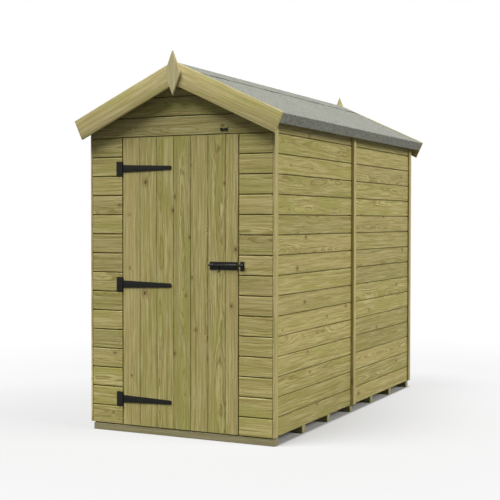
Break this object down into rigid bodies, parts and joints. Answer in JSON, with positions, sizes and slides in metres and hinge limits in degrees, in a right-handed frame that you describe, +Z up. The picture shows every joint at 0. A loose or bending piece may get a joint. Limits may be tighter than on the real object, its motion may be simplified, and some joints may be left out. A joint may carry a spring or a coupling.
{
  "type": "garden shed",
  "caption": "Small timber apex shed with felt roof, bargeboards and a single hinged plank door with tee hinges and a sliding bolt.",
  "frame": {"origin": "on the ground under the middle of the shed", "axes": "+Z up, +Y from the door end to the back, +X to the right seen from the door end"},
  "size_m": [1.3428, 2.596, 2.1904],
  "materials": {
    "cladding": "matte",
    "trim_timber": "matte",
    "frame_timber": "matte",
    "felt": "matte",
    "ironwork": "satin"
  },
  "bodies": {
    "shed": {"floor_joists": "frame_timber", "floor_deck": "frame_timber", "front_wall_left": "cladding", "front_wall_right": "cladding", "front_gable": "cladding", "rear_wall": "cladding", "left_wall_front": "cladding", "left_wall_rear": "cladding", "right_wall_front": "cladding", "right_wall_rear": "cladding", "front_posts": "frame_timber", "front_rails": "frame_timber", "rear_posts": "frame_timber", "rear_rails": "frame_timber", "left_posts": "frame_timber", "left_rails": "frame_timber", "right_posts": "frame_timber", "right_rails": "frame_timber", "corner_strip_front_left": "trim_timber", "corner_strip_front_right": "trim_timber", "corner_strip_rear_left": "trim_timber", "corner_strip_rear_right": "trim_timber", "joint_strip_left": "trim_timber", "joint_strip_right": "trim_timber", "roof_panel_left": "frame_timber", "roof_panel_right": "frame_timber", "roof_felt_left": "felt", "roof_felt_right": "felt", "ridge_felt": "felt", "roof_beams": "frame_timber", "bargeboard_front_left": "trim_timber", "bargeboard_front_right": "trim_timber", "bargeboard_rear_left": "trim_timber", "bargeboard_rear_right": "trim_timber", "finial_front": "trim_timber", "finial_rear": "trim_timber", "door_stops": "frame_timber", "hinge_plates": "ironwork", "bolt_keeper": "ironwork"},
    "door": {"door_boards": "cladding", "door_ledges": "frame_timber", "door_braces": "frame_timber", "hinge_straps": "ironwork", "bolt_plate": "ironwork"},
    "bolt": {"bolt_bar": "ironwork"},
    "turn_button": {"turn_button": "ironwork"}
  },
  "joints": [
    {"name": "door_hinge", "type": "hinge", "parent": "shed", "child": "door", "pos_m": [-0.3785, -1.225, 0.867], "axis": [0, 0, -1], "range_deg": [0, 150]},
    {"name": "bolt_slide", "type": "slide", "parent": "door", "child": "bolt", "axis": [1, 0, 0], "range_m": [0, 0.028]},
    {"name": "turn_button_screw", "type": "hinge", "parent": "shed", "child": "turn_button", "pos_m": [0.272, -1.222, 1.745], "axis": [0, 1, 0], "range_deg": [0, 90]}
  ]
}
